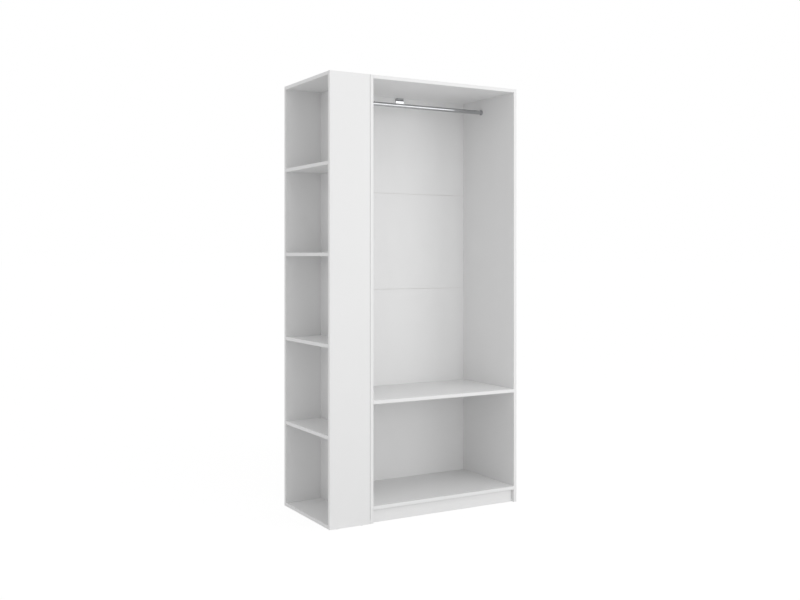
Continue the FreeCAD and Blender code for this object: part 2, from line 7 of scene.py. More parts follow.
import bmesh
import bpy
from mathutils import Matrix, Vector


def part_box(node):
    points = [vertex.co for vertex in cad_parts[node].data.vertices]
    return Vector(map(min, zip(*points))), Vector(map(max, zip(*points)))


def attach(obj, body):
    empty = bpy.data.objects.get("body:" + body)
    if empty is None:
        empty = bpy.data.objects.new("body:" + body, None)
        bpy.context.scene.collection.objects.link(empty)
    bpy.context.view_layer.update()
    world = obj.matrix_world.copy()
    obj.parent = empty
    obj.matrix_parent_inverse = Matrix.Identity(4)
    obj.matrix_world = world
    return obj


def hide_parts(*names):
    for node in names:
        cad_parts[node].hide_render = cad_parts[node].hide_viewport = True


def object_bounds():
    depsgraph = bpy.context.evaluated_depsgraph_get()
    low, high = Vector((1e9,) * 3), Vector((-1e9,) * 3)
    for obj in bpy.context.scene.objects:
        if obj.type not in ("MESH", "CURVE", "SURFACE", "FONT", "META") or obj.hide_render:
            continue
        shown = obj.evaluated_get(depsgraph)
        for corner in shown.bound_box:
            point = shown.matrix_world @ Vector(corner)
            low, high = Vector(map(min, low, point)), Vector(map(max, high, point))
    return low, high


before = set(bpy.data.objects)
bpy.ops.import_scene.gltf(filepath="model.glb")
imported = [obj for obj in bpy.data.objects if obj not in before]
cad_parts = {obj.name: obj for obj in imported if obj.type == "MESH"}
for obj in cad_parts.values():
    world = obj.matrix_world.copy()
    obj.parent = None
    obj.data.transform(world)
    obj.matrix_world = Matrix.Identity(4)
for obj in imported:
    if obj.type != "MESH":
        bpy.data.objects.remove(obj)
CAD_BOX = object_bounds()

# Places in metres that several pieces share
CAD_LOW, CAD_HIGH = CAD_BOX
BACK_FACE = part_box("back_leaf_1")[0].y
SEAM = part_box("wardrobe_left_side")[0].x
TOP_LOW, TOP_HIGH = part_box("wardrobe_top")
UNIT_LOW, UNIT_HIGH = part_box("shelf_unit_top")

LOG = logging.getLogger("corner_wardrobe")
MM = 0.001
SAME_PLACE = 0.05 * MM
MERGE_DISTANCE = 0.001 * MM
# Decimals of a metre that put the solids of a node in order
ORDER_DECIMALS = 4
SMOOTH_ANGLE = math.radians(35)
# Shape of a bevel whose section is a quarter of a circle
ROUND_PROFILE = 0.5
# Shares of a drive's radius at the inner corners of a cross and at the floor of any drive
CROSS_WAIST = 0.36
DRIVE_FLOOR = 0.9
# A face is square to an axis when its normal goes at least this far along it
SQUARE_ON = 0.9
# Rays that look for other faces inside a gap, to lay the painted gap shade
GAP_RAYS = 8
# The sRGB curve: a straight toe and then a power
SRGB_FULL = 255
SRGB_TOE = 0.04045
SRGB_SLOPE = 12.92
SRGB_SHIFT = 0.055
SRGB_POWER = 2.4
# Numbers of a colour mix's sockets, which share their names with those of other mixes
SHARE, UNDER, OVER, MIXED = 0, 6, 7, 2

Colour = tuple[float, float, float, float]
Tree = bpy.types.NodeTree
Socket = bpy.types.NodeSocket
Sockets = bpy.types.NodeOutputs
Piece = bpy.types.Object
Vert = bmesh.types.BMVert
Edge = bmesh.types.BMEdge
Face = bmesh.types.BMFace


class Body(Enum):
    """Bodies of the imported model."""

    CARCASS = "carcass"
    ROD = "rod"


class Slot(Enum):
    """Names of the record's material slots."""

    WHITE_PLASTIC = "white_plastic"
    CHROME = "chrome"
    PLATED_STEEL = "plated_steel"


class Axis(Enum):
    """Level axes of the frame."""

    X = "X"
    Y = "Y"

    def other(self) -> "Axis":
        """Return the level axis that crosses this one."""
        return Axis.Y if self is Axis.X else Axis.X


class Direction(Enum):
    """Ways along the axes of the frame."""

    LEFT = (-1.0, 0.0, 0.0)
    RIGHT = (1.0, 0.0, 0.0)
    BACKWARD = (0.0, 1.0, 0.0)
    UP = (0.0, 0.0, 1.0)
    DOWN = (0.0, 0.0, -1.0)


class Element(Enum):
    """Kinds of mesh elements that a selection takes."""

    VERT = "VERT"
    EDGE = "EDGE"
    FACE = "FACE"


class Recess(Enum):
    """Drives that are sunk into a screw's head, by the corners of their outline."""

    HEXAGON = 6
    CROSS = 12


def linear(code: str) -> Colour:
    """Turn an sRGB hex code into a linear colour.

    Args:
        code: Six hex digits after a hash sign.

    Returns:
        Red, green, blue and a full alpha, all linear.
    """
    parts = [byte / SRGB_FULL for byte in bytes.fromhex(code[1:])]
    red, green, blue = (
        part / SRGB_SLOPE if part <= SRGB_TOE else ((part + SRGB_SHIFT) / (1 + SRGB_SHIFT)) ** SRGB_POWER
        for part in parts
    )
    return (red, green, blue, 1.0)


def per_metre(size_mm: float) -> float:
    """Return the texture scale whose cells measure a size in millimetres."""
    return 1.0 / (size_mm * MM)


def meets(first: float, second: float) -> bool:
    """Say whether two places along an axis are the same."""
    return abs(first - second) < SAME_PLACE


def add_node(tree: Tree, kind: str, inputs: dict | None = None, **settings: object) -> Sockets:
    """Add one shader node with its settings, values and links.

    Args:
        tree: Node tree that takes the node.
        kind: Blender's type name of the node, after the word ShaderNode.
        inputs: Values or output sockets by the name or number of the input they fill.
        **settings: Options of the node itself.

    Returns:
        The outputs of the new node.
    """
    node = tree.nodes.new(f"ShaderNode{kind}")
    for option, value in settings.items():
        setattr(node, option, value)
    for socket, value in (inputs or {}).items():
        if isinstance(value, Socket):
            tree.links.new(value, node.inputs[socket])
        else:
            node.inputs[socket].default_value = value
    return node.outputs


@dataclass(frozen=True)
class Pattern:
    """A pattern on a surface, by the real size of its cells."""

    size_mm: float
    detail: float
    bend: float = 0.0

    def inputs(self, place: Socket) -> dict[str, object]:
        """Return what a texture takes in to draw the pattern over a place."""
        scale = per_metre(self.size_mm)
        return {"Vector": place, "Scale": scale, "Detail": self.detail, "Distortion": self.bend}


@dataclass(frozen=True)
class Tones:
    """Two colours that a pattern mixes."""

    ground_hex: str
    patch_hex: str

    def inputs(self, share: Socket) -> dict[int, object]:
        """Return what a colour mix takes in to show a share of the second colour."""
        return {SHARE: share, UNDER: linear(self.ground_hex), OVER: linear(self.patch_hex)}


@dataclass(frozen=True)
class Grain:
    """How the fine pattern of a surface varies its gloss and stands out of it."""

    roughness: tuple[float, float]
    depth_mm: float
    strength: float = 0.04
    bare_roughness: float = 1.0
    metallic: float = 0.0

    def coat(self, tree: Tree, pattern: Socket, colour: Socket, bare: Socket | float = 0.0) -> Socket:
        """Close a finish with its gloss and its relief.

        Args:
            tree: Node tree of the material.
            pattern: The fine pattern, from 0 to 1.
            colour: Colour of the surface.
            bare: 1 where the raw material shows and 0 elsewhere.

        Returns:
            The shader's output socket.
        """
        clear, dull = self.roughness
        gloss = add_node(tree, "MapRange", {"Value": pattern, "To Min": clear, "To Max": dull})[0]
        gloss = add_node(tree, "Mix", {"Factor": bare, "A": gloss, "B": self.bare_roughness})[0]
        bumps = {"Strength": self.strength, "Distance": self.depth_mm * MM, "Height": pattern}
        relief = add_node(tree, "Bump", bumps)[0]
        skin = {"Base Color": colour, "Metallic": self.metallic, "Roughness": gloss, "Normal": relief}
        return add_node(tree, "BsdfPrincipled", skin)[0]


@dataclass(frozen=True)
class Finish:
    """A surface as it was made, which builds its own material once."""

    name: str

    def material(self) -> bpy.types.Material:
        """Return the finish as a material, made at the first call."""
        made = bpy.data.materials.get(self.name)
        if made is None:
            made = bpy.data.materials.new(self.name)
            made.use_nodes = True
            tree = made.node_tree
            tree.nodes.clear()
            add_node(tree, "OutputMaterial", {"Surface": self.shade(tree)})
        return made

    def shade(self, tree: Tree) -> Socket:
        """Build the shader.

        Args:
            tree: Empty node tree of the material.

        Returns:
            The shader's output socket.
        """
        raise NotImplementedError


@dataclass(frozen=True)
class Joint:
    """A straight joint between two boards that lie level on the top, in metres."""

    across: Axis
    place: float
    start: float
    stop: float


@dataclass(frozen=True)
class MelamineBoard(Finish):
    """Chipboard pressed between white melamine papers, with a plastic band on its show edge."""

    band_axis: Axis
    band_face: float
    joints: tuple[Joint, ...] = ()
    bare_rear: bool = True
    face: Tones = Tones("#ECECEC", "#E8E8E8")
    chip: Tones = Tones("#8C6A42", "#C8AC80")
    band_hex: str = "#EBEBEB"
    glue_hex: str = "#B9B4AA"
    joint_hex: str = "#8E8E8C"
    # Colour of the painted shade at the back of a lying board
    painted_rear_shade_hex: str | None = None
    # Colour of the painted shade laid inside a narrow gap, by how closely other faces shut it in
    painted_gap_shade_hex: str | None = None
    cloud: Pattern = Pattern(420.0, detail=2.0)
    # The press plate's pearl measures 0.6 mm and is drawn at 3 mm, so that it shows
    pearl: Pattern = Pattern(3.0, detail=3.0)
    chip_mm: float = 3.5
    band_mm: float = 1.0
    glue_mm: float = 0.15
    # A tight joint is a quarter of a millimetre wide and is drawn at 1 mm, so that it shows
    joint_mm: float = 1.0
    painted_gap_shade_reach_mm: float = 10.0
    # Up to this height no painted gap shade is laid, where the pale floor lights a gap
    clear_mm: float = 15.0
    # Bare edges lie this close to the wall and to the floor
    rear_mm: float = 0.5
    foot_mm: float = 2.5
    grain: Grain = Grain((0.36, 0.46), depth_mm=0.2, strength=0.05, bare_roughness=0.85)

    def shade(self, tree: Tree) -> Socket:
        """Build an even satin white with a faint pearl, a glue line and open chips on bare edges.

        Args:
            tree: Empty node tree of the material.

        Returns:
            The shader's output socket.
        """
        place = add_node(tree, "TexCoord")
        axes = add_node(tree, "SeparateXYZ", {"Vector": place["Object"]})
        facing = add_node(tree, "SeparateXYZ", {"Vector": place["Normal"]})
        cloud = add_node(tree, "TexNoise", self.cloud.inputs(place["Object"]))["Fac"]
        pearl = add_node(tree, "TexNoise", self.pearl.inputs(place["Object"]))["Fac"]
        cells = {"Vector": place["Object"], "Scale": per_metre(self.chip_mm)}
        chips = add_node(tree, "TexVoronoi", cells)["Color"]
        tone = add_node(tree, "SeparateColor", {"Color": chips})["Red"]
        chip = add_node(tree, "Mix", self.chip.inputs(tone), data_type="RGBA")[MIXED]
        bare = self.find_bare(tree, axes, facing)
        # The eye sees one even white, a shade deeper in broad soft patches
        colour = add_node(tree, "Mix", self.face.inputs(cloud), data_type="RGBA")[MIXED]
        layers = self.edge_layers(tree, axes) + [(bare, chip)] + self.line_layers(tree, axes)
        for share, paint in layers:
            coats = {SHARE: share, UNDER: colour, OVER: paint}
            colour = add_node(tree, "Mix", coats, data_type="RGBA")[MIXED]
        return self.grain.coat(tree, pearl, colour, bare)

    def find_bare(self, tree: Tree, axes: Sockets, facing: Sockets) -> Socket:
        """Find the edges against the floor and the wall, which have no band.

        Args:
            tree: Node tree of the material.
            axes: Place of a point along each axis.
            facing: Normal of its face along each axis.

        Returns:
            1 on a bare edge and 0 elsewhere.
        """
        low = self.foot_mm * MM
        edges = [((facing["Z"], -SQUARE_ON, "LESS_THAN"), (axes["Z"], low, "LESS_THAN"))]
        if self.bare_rear:
            far = CAD_HIGH.y - self.rear_mm * MM
            edges.append(((facing["Y"], SQUARE_ON, "GREATER_THAN"), (axes["Y"], far, "GREATER_THAN")))
        bare = 0.0
        for tests in edges:
            turned, placed = (
                add_node(tree, "Math", {0: value, 1: limit}, operation=test)[0]
                for value, limit, test in tests
            )
            edge = add_node(tree, "Math", {0: turned, 1: placed}, operation="MULTIPLY")[0]
            bare = add_node(tree, "Math", {0: bare, 1: edge}, operation="MAXIMUM")[0]
        return bare

    def edge_layers(self, tree: Tree, axes: Sockets) -> list[tuple[Socket, Colour]]:
        """Find the band, the line of its glue, and the painted shade towards the rear of a board that lies.

        Args:
            tree: Node tree of the material.
            axes: Place of a point along each axis.

        Returns:
            The share and the colour of each layer over the paper.
        """
        layers = []
        # Painted shade: a lying board is drawn darker towards the back, where it gets less of the room's
        # light
        if self.painted_rear_shade_hex:
            run = {"Value": axes["Y"], "From Min": CAD_LOW.y, "From Max": BACK_FACE}
            layers.append((add_node(tree, "MapRange", run)[0], linear(self.painted_rear_shade_hex)))
        depth = axes[self.band_axis.value]
        inner = self.band_face + self.band_mm * MM
        on_band = add_node(tree, "Math", {0: depth, 1: inner}, operation="LESS_THAN")[0]
        on_glue = add_node(tree, "Math", {0: depth, 1: inner, 2: self.glue_mm * MM}, operation="COMPARE")[0]
        return layers + [(on_band, linear(self.band_hex)), (on_glue, linear(self.glue_hex))]

    def line_layers(self, tree: Tree, axes: Sockets) -> list[tuple[Socket, Colour]]:
        """Find the dark hairlines between boards on the top, and the painted shade inside a narrow gap.

        Args:
            tree: Node tree of the material.
            axes: Place of a point along each axis.

        Returns:
            The share and the colour of each layer over the finished faces.
        """
        layers = []
        for joint in self.joints:
            half = (joint.stop - joint.start) / 2
            line = 1.0
            for axis, middle, reach in (
                ("Z", CAD_HIGH.z, SAME_PLACE),
                (joint.across.value, joint.place, self.joint_mm * MM / 2),
                (joint.across.other().value, joint.start + half, half),
            ):
                near = add_node(tree, "Math", {0: axes[axis], 1: middle, 2: reach}, operation="COMPARE")[0]
                line = add_node(tree, "Math", {0: line, 1: near}, operation="MULTIPLY")[0]
            layers.append((line, linear(self.joint_hex)))
        # Painted shade: a gap greys by how closely other faces shut it in, above the floor's reach
        if self.painted_gap_shade_hex:
            reach = {"Distance": self.painted_gap_shade_reach_mm * MM}
            space = add_node(tree, "AmbientOcclusion", reach, samples=GAP_RAYS)["AO"]
            shut = add_node(tree, "Math", {0: 1.0, 1: space}, operation="SUBTRACT")[0]
            clear = self.clear_mm * MM
            raised = add_node(tree, "Math", {0: axes["Z"], 1: clear}, operation="GREATER_THAN")[0]
            painted_gap_shade = add_node(tree, "Math", {0: shut, 1: raised}, operation="MULTIPLY")[0]
            layers.append((painted_gap_shade, linear(self.painted_gap_shade_hex)))
        return layers


@dataclass(frozen=True)
class LacqueredFibreboard(Finish):
    """Thin hardboard with a white lacquer on its face and bare brown fibre behind."""

    white: Tones = Tones("#EBEBEB", "#E6E6E6")
    brown: Tones = Tones("#7E6041", "#A98A63")
    cloud: Pattern = Pattern(300.0, detail=2.0)
    # Fibres are finer than a tenth of a millimetre and are drawn at 4 mm, so that they show
    fibre: Pattern = Pattern(4.0, detail=6.0, bend=1.2)
    # A face carries lacquer when its normal goes at least half way to the front
    lacquer_facing: float = -0.5
    grain: Grain = Grain((0.42, 0.55), depth_mm=0.2, bare_roughness=0.7)

    def shade(self, tree: Tree) -> Socket:
        """Build a flat lacquer in front and a mottled brown behind and on the sawn edges.

        Args:
            tree: Empty node tree of the material.

        Returns:
            The shader's output socket.
        """
        place = add_node(tree, "TexCoord")
        facing = add_node(tree, "SeparateXYZ", {"Vector": place["Normal"]})
        cloud = add_node(tree, "TexNoise", self.cloud.inputs(place["Object"]))["Fac"]
        fibre = add_node(tree, "TexNoise", self.fibre.inputs(place["Object"]))["Fac"]
        white = add_node(tree, "Mix", self.white.inputs(cloud), data_type="RGBA")[MIXED]
        brown = add_node(tree, "Mix", self.brown.inputs(fibre), data_type="RGBA")[MIXED]
        bare = add_node(tree, "Math", {0: facing["Y"], 1: self.lacquer_facing}, operation="GREATER_THAN")[0]
        sides = {SHARE: bare, UNDER: white, OVER: brown}
        colour = add_node(tree, "Mix", sides, data_type="RGBA")[MIXED]
        return self.grain.coat(tree, fibre, colour, bare)


@dataclass(frozen=True)
class PlatedMetal(Finish):
    """Metal under a plated skin, or bare as it was cast, with fine marks that break its gloss."""

    skin: Tones
    marks: Pattern
    grain: Grain
    stretch: tuple[float, float, float] = (1.0, 1.0, 1.0)

    def shade(self, tree: Tree) -> Socket:
        """Build a metal whose tint and gloss vary a little along its marks.

        Args:
            tree: Empty node tree of the material.

        Returns:
            The shader's output socket.
        """
        place = add_node(tree, "TexCoord")["Object"]
        drawn = add_node(tree, "Mapping", {"Vector": place, "Scale": self.stretch})["Vector"]
        marks = add_node(tree, "TexNoise", self.marks.inputs(drawn))["Fac"]
        colour = add_node(tree, "Mix", self.skin.inputs(marks), data_type="RGBA")[MIXED]
        return self.grain.coat(tree, marks, colour)


@dataclass(frozen=True)
class MouldedPlastic(Finish):
    """White polyethylene from a finely eroded mould."""

    face: Tones = Tones("#EEEEEE", "#E3E3E3")
    # The mould's pits measure 0.2 mm and are drawn at 1 mm, so that they show
    pits: Pattern = Pattern(1.0, detail=3.0)
    grain: Grain = Grain((0.3, 0.42), depth_mm=0.05, strength=0.1)

    def shade(self, tree: Tree) -> Socket:
        """Build a soft white with a fine moulded grain.

        Args:
            tree: Empty node tree of the material.

        Returns:
            The shader's output socket.
        """
        place = add_node(tree, "TexCoord")["Object"]
        pits = add_node(tree, "TexNoise", self.pits.inputs(place))["Fac"]
        colour = add_node(tree, "Mix", self.face.inputs(pits), data_type="RGBA")[MIXED]
        return self.grain.coat(tree, pits, colour)


@dataclass(frozen=True)
class FlutedBeech(Finish):
    """Beech rod with pressed flutes, sawn to length."""

    wood: Tones = Tones("#D9B48A", "#B98A5C")
    # Growth rings measure 2 mm and are drawn at about 4 mm, so that they show
    # The texture draws 20 radians of rings in a cell
    rings: Pattern = Pattern(12.57, detail=2.0, bend=3.0)
    roughness: float = 0.6

    def shade(self, tree: Tree) -> Socket:
        """Build warm wood with fine growth rings along the rod.

        Args:
            tree: Empty node tree of the material.

        Returns:
            The shader's output socket.
        """
        place = add_node(tree, "TexCoord")["Object"]
        rings = add_node(tree, "TexWave", self.rings.inputs(place))["Fac"]
        colour = add_node(tree, "Mix", self.wood.inputs(rings), data_type="RGBA")[MIXED]
        return add_node(tree, "BsdfPrincipled", {"Base Color": colour, "Roughness": self.roughness})[0]


def seen_directly(tree: Tree) -> Socket:
    """Find the rays that bring a surface to the eye by sight, in a mirror or through glass.

    Args:
        tree: Node tree of a material or of the world.

    Returns:
        1 for those rays and 0 for the rays that only carry light.
    """
    rays = add_node(tree, "LightPath")
    seen = rays["Is Camera Ray"]
    for kind in ("Is Glossy Ray", "Is Transmission Ray"):
        seen = add_node(tree, "Math", {0: seen, 1: rays[kind]}, operation="MAXIMUM")[0]
    return seen


@dataclass(frozen=True)
class StudioPaper(Finish):
    """Seamless white paper, so strongly lit that it burns out to white."""

    face_hex: str = "#F4F4F4"
    roughness: float = 0.9
    glow: float = 1.05
    glow_share: float = 0.88

    def shade(self, tree: Tree) -> Socket:
        """Build a matt white that glows to the eye and keeps a part of the shadow.

        Args:
            tree: Empty node tree of the material.

        Returns:
            The shader's output socket.
        """
        seen = seen_directly(tree)
        share = add_node(tree, "Math", {0: seen, 1: self.glow_share}, operation="MULTIPLY")[0]
        matt = {"Base Color": linear(self.face_hex), "Roughness": self.roughness}
        paper = add_node(tree, "BsdfPrincipled", matt)[0]
        glow = add_node(tree, "Emission", {"Strength": self.glow})[0]
        return add_node(tree, "MixShader", {0: share, 1: paper, 2: glow})[0]


UNIT_JOINTS = (
    Joint(Axis.X, SEAM, TOP_LOW.y, TOP_HIGH.y),
    Joint(Axis.X, UNIT_HIGH.x, UNIT_LOW.y, UNIT_HIGH.y),
    Joint(Axis.Y, UNIT_LOW.y, UNIT_LOW.x, SEAM),
    Joint(Axis.Y, UNIT_HIGH.y, UNIT_LOW.x, SEAM),
)
WARDROBE_JOINTS = tuple(
    Joint(Axis.X, place, TOP_LOW.y, TOP_HIGH.y) for place in (SEAM, TOP_LOW.x, TOP_HIGH.x)
)
# Pressed melamine paper gives a clean satin white, with a pale line where the edge band is glued on
FRONT_BANDED = MelamineBoard("melamine_board_banded_front", Axis.Y, CAD_LOW.y, WARDROBE_JOINTS)
SIDE_BANDED = MelamineBoard("melamine_board_banded_side", Axis.X, CAD_LOW.x, UNIT_JOINTS, bare_rear=False)
# The same board with painted shade inside a narrow gap, so that the gap's inside reads as a grey line
GAP_BANDED = replace(FRONT_BANDED, name="melamine_board_banded_gap_painted_shade", painted_gap_shade_hex="#949494")
# The same board lying flat, painted lighter as painted light on its lit top, and darker towards the back as
# painted shade
SHELF_BANDED = replace(
    FRONT_BANDED,
    name="melamine_board_banded_shelf_painted_light_and_shade",
    joints=(),
    # Painted light: a lighter white than the upright boards, for tops lit from above
    face=Tones("#F3F3F3", "#F0F0F0"),
    # Painted shade, darker towards the back
    painted_rear_shade_hex="#E0E0E0",
)
# Rolled lacquer gives a flatter white than the boards, and the bare rear a mottled brown
BACK_LACQUER = LacqueredFibreboard("lacquered_fibreboard")
# Buffed chrome mirrors the room in long streaks, and a darker, rougher copy of it is painted shade
CHROME = PlatedMetal(
    "chrome_plate_polished",
    Tones("#B9BABC", "#B0B1B3"),
    Pattern(6.0, detail=4.0),
    Grain((0.07, 0.13), depth_mm=0.02, metallic=1.0),
    stretch=(0.1, 1.0, 1.0),
)
# A darker copy of the chrome, painted shade on the brace's neck
PAINTED_SHADE_CHROME = replace(
    CHROME,
    name="chrome_plate_painted_shade",
    skin=Tones("#8C8D8F", "#838486"),
    grain=replace(CHROME.grain, roughness=(0.16, 0.24)),
)
# Zinc plate has a cool, cloudy shine, and bare cast zinc is a darker grey with a pebbled skin
ZINC = PlatedMetal(
    "zinc_plate_bright",
    Tones("#C4C6C8", "#A3A5A6"),
    Pattern(2.5, detail=4.0),
    Grain((0.28, 0.42), depth_mm=0.02, metallic=1.0),
)
CAST_ZINC = PlatedMetal(
    "zinc_alloy_die_cast",
    Tones("#A2A3A4", "#7F8082"),
    Pattern(1.5, detail=4.0),
    Grain((0.42, 0.6), depth_mm=0.08, metallic=1.0),
)
# Moulded polyethylene has a soft, slightly waxy sheen
PLASTIC = MouldedPlastic("polyethylene_moulded_white")
# Beech gives a warm tan with fine darker rings
BEECH = FlutedBeech("beech_fluted")


@dataclass(frozen=True)
class Solid:
    """The box of one solid of a CAD node, in metres."""

    low: Vector
    high: Vector

    def end(self, direction: Direction) -> Vector:
        """Return the middle of the end face that lies furthest along a direction."""
        half = (self.high - self.low) / 2
        return (self.low + self.high) / 2 + Vector(direction.value) * half

    def length_along(self, direction: Direction) -> float:
        """Return the length of the box along a direction."""
        return abs((self.high - self.low).dot(Vector(direction.value)))


def solids_of(node: str) -> list[Solid]:
    """Find the separate solids of a node on a merged copy of its mesh.

    Args:
        node: Name of the CAD node.

    Returns:
        One box for each solid, in a steady order.
    """
    copy = bmesh.new()
    copy.from_mesh(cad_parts[node].data)
    bmesh.ops.remove_doubles(copy, verts=copy.verts, dist=MERGE_DISTANCE)
    waiting = set(copy.verts)
    found = []
    while waiting:
        reached = {waiting.pop()}
        newest = set(reached)
        while newest:
            newest = {edge.other_vert(vert) for vert in newest for edge in vert.link_edges} - reached
            reached |= newest
        waiting -= reached
        corners = [vert.co for vert in reached]
        low = Vector(min(corner[axis] for corner in corners) for axis in range(3))
        high = Vector(max(corner[axis] for corner in corners) for axis in range(3))
        found.append(Solid(low, high))
    copy.free()
    return sorted(found, key=lambda solid: [round(value, ORDER_DECIMALS) for value in solid.low])


@dataclass
class Bench:
    """A bench where one piece is shaped by operators, on selections made in code."""

    name: str
    piece: Piece | None = None

    def __post_init__(self) -> None:
        """Clear the selection, so that the operators meet nothing but the new piece."""
        bpy.ops.object.select_all(action="DESELECT")

    def take(self) -> None:
        """Name the primitive that was just added and go into edit mode on it."""
        self.piece = bpy.context.active_object
        self.piece.name = self.name
        self.piece.data.name = self.name
        bpy.ops.object.mode_set(mode="EDIT")

    def ring(self, sides: int, radius: float, height: float) -> None:
        """Add a ring of edges round the Z axis and leave only it selected.

        Args:
            sides: Number of edges in the ring.
            radius: Radius of its corners in metres.
            height: Height of the ring in metres.
        """
        if self.piece is not None:
            bpy.ops.mesh.select_all(action="DESELECT")
        bpy.ops.mesh.primitive_circle_add(vertices=sides, radius=radius)
        if self.piece is None:
            self.take()
        bpy.ops.transform.translate(value=(0.0, 0.0, height))

    def turn(self, profile: list[tuple[float, float]], sides: int) -> None:
        """Draw a ring out along a profile, as a turner follows a template.

        Args:
            profile: Pairs of a radius and a height, in metres.
            sides: Number of sides of the turned form.
        """
        self.ring(sides, *profile[0])
        for (radius, height), (next_radius, next_height) in zip(profile, profile[1:]):
            rise = (0.0, 0.0, next_height - height)
            bpy.ops.mesh.extrude_edges_move(TRANSFORM_OT_translate={"value": rise})
            self.resize(next_radius / radius, next_height)

    def resize(self, share: float, height: float) -> None:
        """Scale what is selected at one height to a share of its distance from the Z axis."""
        bpy.ops.transform.resize(value=(share, share, 1.0), center_override=(0.0, 0.0, height))

    def select(self, kind: Element, test: Callable[[Vert | Edge | Face], bool]) -> None:
        """Select the vertices, edges or faces that pass a test.

        Args:
            kind: Kind of the elements.
            test: Says whether an element is selected.
        """
        bpy.ops.mesh.select_all(action="DESELECT")
        bpy.ops.mesh.select_mode(type=kind.value)
        mesh = bmesh.from_edit_mesh(self.piece.data)
        elements = {Element.VERT: mesh.verts, Element.EDGE: mesh.edges, Element.FACE: mesh.faces}
        for element in elements[kind]:
            element.select_set(bool(test(element)))
        mesh.select_flush_mode()
        bmesh.update_edit_mesh(self.piece.data)

    def round_rim(self, radius: float, height: float, width: float, steps: int) -> None:
        """Bevel the round edge that lies at one radius and height.

        Args:
            radius: Radius of the edge in metres.
            height: Height of the edge in metres.
            width: Width of the bevel in metres.
            steps: Steps across the bevel.
        """

        def on_rim(edge: Edge) -> bool:
            """Say whether both ends of an edge lie on the rim."""
            return all(meets(vert.co.z, height) and meets(vert.co.xy.length, radius) for vert in edge.verts)

        self.select(Element.EDGE, on_rim)
        bpy.ops.mesh.bevel(offset=width, segments=steps, profile=ROUND_PROFILE, affect="EDGES")

    def sink(self, recess: Recess, radius: float, height: float, depth: float) -> None:
        """Sink a drive into the open ring at the top of a head.

        Args:
            recess: Shape of the drive.
            radius: Radius of the drive's corners in metres.
            height: Height of the head's top in metres.
            depth: Depth of the drive in metres.
        """

        def open_at_top(edge: Edge) -> bool:
            """Say whether an edge bounds the open ring at the top."""
            return all(meets(vert.co.z, height) for vert in edge.verts) and len(edge.link_faces) < 2

        def inner_corner(vert: Vert) -> bool:
            """Say whether a loose corner lies between two arms of the cross."""
            loose = not vert.link_faces and meets(vert.co.z, height)
            return loose and meets(abs(vert.co.x), abs(vert.co.y))

        self.ring(recess.value, radius, height)
        if recess is Recess.CROSS:
            half_step = math.pi / recess.value
            bpy.ops.transform.rotate(value=half_step, orient_axis="Z", center_override=(0.0, 0.0, height))
            self.select(Element.VERT, inner_corner)
            self.resize(CROSS_WAIST, height)
        self.select(Element.EDGE, open_at_top)
        bpy.ops.mesh.bridge_edge_loops()
        self.select(Element.EDGE, open_at_top)
        bpy.ops.mesh.extrude_edges_move(TRANSFORM_OT_translate={"value": (0.0, 0.0, -depth)})
        self.resize(DRIVE_FLOOR, height - depth)

    def close(self) -> None:
        """Fill the open ends."""
        bpy.ops.mesh.select_all(action="SELECT")
        bpy.ops.mesh.fill_holes(sides=0)

    def modify(self, kind: str, **settings: object) -> None:
        """Apply one modifier to the piece and go back to edit mode.

        Args:
            kind: Blender's type name of the modifier.
            **settings: Options of the modifier.
        """
        bpy.ops.object.mode_set(mode="OBJECT")
        modifier = self.piece.modifiers.new(kind.lower(), kind)
        for option, value in settings.items():
            setattr(modifier, option, value)
        bpy.ops.object.modifier_apply(modifier=modifier.name)
        bpy.ops.object.mode_set(mode="EDIT")

    def finish(self) -> Piece:
        """Close the open ends, turn the faces outwards, smooth the rounds and keep the flats even.

        Returns:
            The finished piece, still at the origin.
        """
        self.close()
        bpy.ops.mesh.select_all(action="SELECT")
        bpy.ops.mesh.normals_make_consistent(inside=False)
        bpy.ops.object.mode_set(mode="OBJECT")
        bpy.ops.object.shade_smooth_by_angle(angle=SMOOTH_ANGLE)
        self.modify("WEIGHTED_NORMAL", keep_sharp=True)
        bpy.ops.object.mode_set(mode="OBJECT")
        return self.piece


def stand(piece: Piece, start: Vector, direction: Direction) -> Piece:
    """Lay a piece that was made along Z at its place, and put the place into its mesh.

    Args:
        piece: The finished piece at the origin.
        start: Point that takes the piece's origin.
        direction: Way that the piece's Z axis then points.

    Returns:
        The same piece.
    """
    bpy.ops.object.select_all(action="DESELECT")
    piece.select_set(True)
    bpy.context.view_layer.objects.active = piece
    piece.rotation_mode = "QUATERNION"
    upright = Vector(Direction.UP.value)
    piece.rotation_quaternion = upright.rotation_difference(Vector(direction.value))
    piece.location = start
    bpy.ops.object.transform_apply(location=True, rotation=True, scale=True)
    return piece


def copied(pattern: Piece, name: str) -> Piece:
    """Return a copy of a piece with a mesh of its own.

    Args:
        pattern: The piece that was modelled once.
        name: Name of the copy.

    Returns:
        The copy, still at the origin.
    """
    copy = pattern.copy()
    copy.data = pattern.data.copy()
    copy.name = name
    copy.data.name = name
    bpy.context.scene.collection.objects.link(copy)
    return copy


def set_out(pattern: Piece, places: list[tuple[Vector, Direction]]) -> Piece:
    """Copy a pattern to each place, each copy with its own mesh, and join the copies.

    Args:
        pattern: The piece that was modelled once.
        places: Start point and direction of each copy.

    Returns:
        One object that holds every copy.
    """
    name = pattern.name
    copies = [stand(copied(pattern, name), start, direction) for start, direction in places]
    bpy.data.objects.remove(pattern)
    bpy.ops.object.select_all(action="DESELECT")
    for copy in copies:
        copy.select_set(True)
    bpy.context.view_layer.objects.active = copies[0]
    bpy.ops.object.join()
    copies[0].name = name
    copies[0].data.name = name
    return copies[0]


